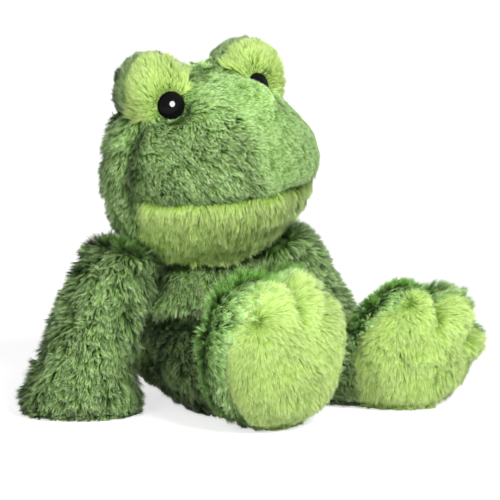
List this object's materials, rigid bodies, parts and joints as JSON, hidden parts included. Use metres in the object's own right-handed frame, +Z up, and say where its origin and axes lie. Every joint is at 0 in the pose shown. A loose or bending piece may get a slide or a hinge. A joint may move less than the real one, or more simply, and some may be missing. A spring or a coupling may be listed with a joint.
{
  "type": "plush frog",
  "caption": "Seated plush frog with a round head, eyes on mounds, a lime jaw and soles, hands on the floor and a head, arms and legs that flex at their sewn joints.",
  "frame": {"origin": "middle of the flat underside of the seat, on the floor", "axes": "+Z up, -Y the way the frog faces, +X to the frog's own left"},
  "size_m": [0.2467, 0.1687, 0.207],
  "materials": {
    "green_plush": "long pile knitted polyester plush",
    "lime_plush": "long pile knitted polyester plush",
    "fibre_filling": "loose polyester fibre",
    "pouch_cloth": "plain woven cotton",
    "eye_plastic": "polished black",
    "washer_plastic": "moulded white"
  },
  "bodies": {
    "torso": {"torso_front_panel": "green_plush", "torso_back_panel": "green_plush", "torso_filling": "fibre_filling", "seat_pellet_pouch": "pouch_cloth"},
    "head": {"head_face_panel_left": "green_plush", "head_face_panel_right": "green_plush", "head_back_panel": "green_plush", "head_jaw_panel": "lime_plush", "head_filling": "fibre_filling", "eye_mound_lid_right": "lime_plush", "eye_mound_back_right": "green_plush", "eye_mound_filling_right": "fibre_filling", "eye_button_right": "eye_plastic", "eye_washer_right": "washer_plastic", "eye_mound_lid_left": "lime_plush", "eye_mound_back_left": "green_plush", "eye_mound_filling_left": "fibre_filling", "eye_button_left": "eye_plastic", "eye_washer_left": "washer_plastic"},
    "arm_right": {"arm_cover_right": "green_plush", "arm_filling_right": "fibre_filling"},
    "arm_left": {"arm_cover_left": "green_plush", "arm_filling_left": "fibre_filling"},
    "leg_right": {"leg_cover_right": "green_plush", "foot_back_panel_right": "green_plush", "sole_panel_right": "lime_plush", "leg_filling_right": "fibre_filling"},
    "leg_left": {"leg_cover_left": "green_plush", "foot_back_panel_left": "green_plush", "sole_panel_left": "lime_plush", "leg_filling_left": "fibre_filling"}
  },
  "joints": [
    {"name": "neck_turn", "type": "hinge", "parent": "torso", "child": "head", "pos_m": [0, 0, 0.104], "axis": [0, 0, 1], "range_deg": [-20, 20], "stiffness_Nm_per_rad": 0.1},
    {"name": "shoulder_lift_right", "type": "hinge", "parent": "torso", "child": "arm_right", "pos_m": [-0.055, 0, 0.078], "axis": [0, 1, 0], "range_deg": [0, 35], "stiffness_Nm_per_rad": 0.04},
    {"name": "shoulder_lift_left", "type": "hinge", "parent": "torso", "child": "arm_left", "pos_m": [0.055, 0, 0.078], "axis": [0, -1, 0], "range_deg": [0, 35], "stiffness_Nm_per_rad": 0.04},
    {"name": "hip_lift_right", "type": "hinge", "parent": "torso", "child": "leg_right", "pos_m": [0, -0.03, 0.028], "axis": [-1, 0, 0], "range_deg": [-6, 20], "stiffness_Nm_per_rad": 0.2},
    {"name": "hip_lift_left", "type": "hinge", "parent": "torso", "child": "leg_left", "pos_m": [0, -0.03, 0.028], "axis": [-1, 0, 0], "range_deg": [-6, 20], "stiffness_Nm_per_rad": 0.2}
  ]
}
